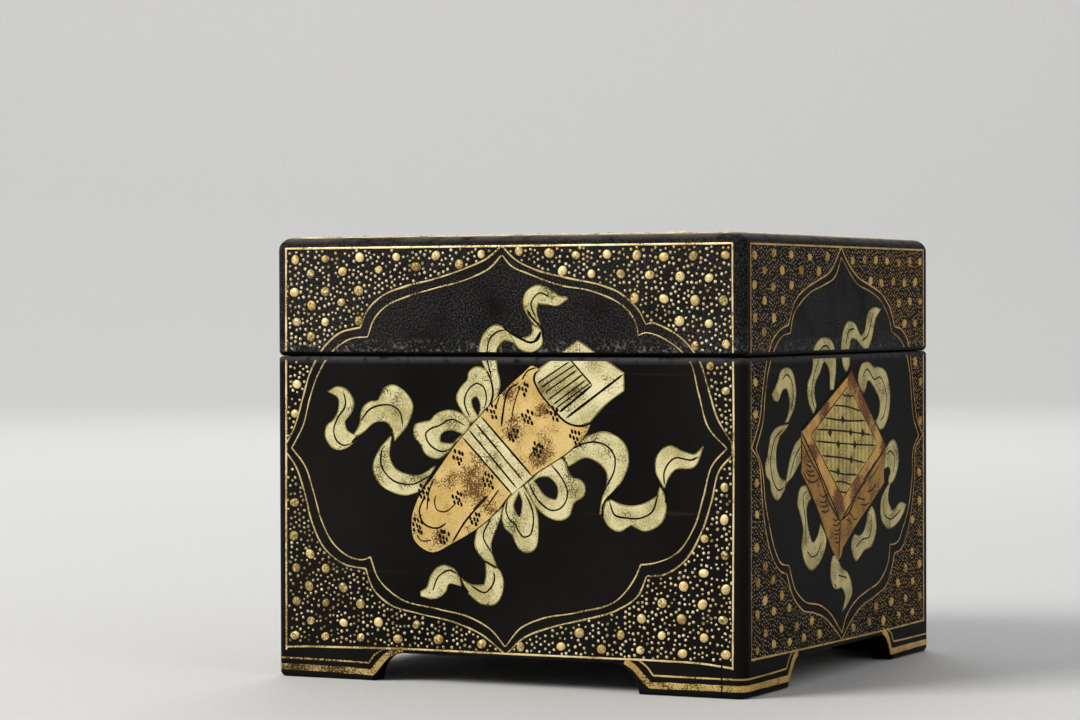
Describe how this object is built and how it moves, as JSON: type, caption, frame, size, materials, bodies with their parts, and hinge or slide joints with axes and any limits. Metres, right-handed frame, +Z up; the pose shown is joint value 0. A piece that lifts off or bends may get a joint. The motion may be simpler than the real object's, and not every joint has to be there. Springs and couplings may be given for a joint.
{
  "type": "lacquer seal box",
  "caption": "Square black lacquer box on bracket feet with a flush lift-off lid, gilt cartouches and a dotted gold ground, for keeping a seal.",
  "frame": {"origin": "on the ground under the middle of the box", "axes": "+Z up, the front face towards -Y, +X to the right of someone who looks at the front"},
  "size_m": [0.12, 0.12, 0.1044],
  "materials": {
    "black_lacquer": "black lacquer on wood, satin, lightly worn",
    "inner_lacquer": "dark brown-black lacquer on wood, satin",
    "bamboo": "bare bamboo",
    "silk": "woven silk over cotton wadding",
    "gold_lacquer": "gold powder on lacquer, worn"
  },
  "bodies": {
    "case": {"case_front_wall": "black_lacquer", "case_back_wall": "black_lacquer", "case_left_wall": "black_lacquer", "case_right_wall": "black_lacquer", "case_floor": "inner_lacquer", "lip_board_front": "inner_lacquer", "lip_board_back": "inner_lacquer", "lip_board_left": "inner_lacquer", "lip_board_right": "inner_lacquer", "seal_cushion": "silk", "case_pin_front_left_1": "bamboo", "case_pin_front_left_2": "bamboo", "case_pin_front_left_3": "bamboo", "case_pin_front_right_1": "bamboo", "case_pin_front_right_2": "bamboo", "case_pin_front_right_3": "bamboo", "case_pin_back_left_1": "bamboo", "case_pin_back_left_2": "bamboo", "case_pin_back_left_3": "bamboo", "case_pin_back_right_1": "bamboo", "case_pin_back_right_2": "bamboo", "case_pin_back_right_3": "bamboo"},
    "lid": {"lid_top": "black_lacquer", "lid_front_wall": "black_lacquer", "lid_back_wall": "black_lacquer", "lid_left_wall": "black_lacquer", "lid_right_wall": "black_lacquer", "lid_pin_front_left": "bamboo", "lid_pin_front_right": "bamboo", "lid_pin_back_left": "bamboo", "lid_pin_back_right": "bamboo"}
  },
  "joints": [
    {"name": "lid_lift", "type": "slide", "parent": "case", "child": "lid", "axis": [0, 0, 1], "range_m": [0, 0.08]}
  ]
}
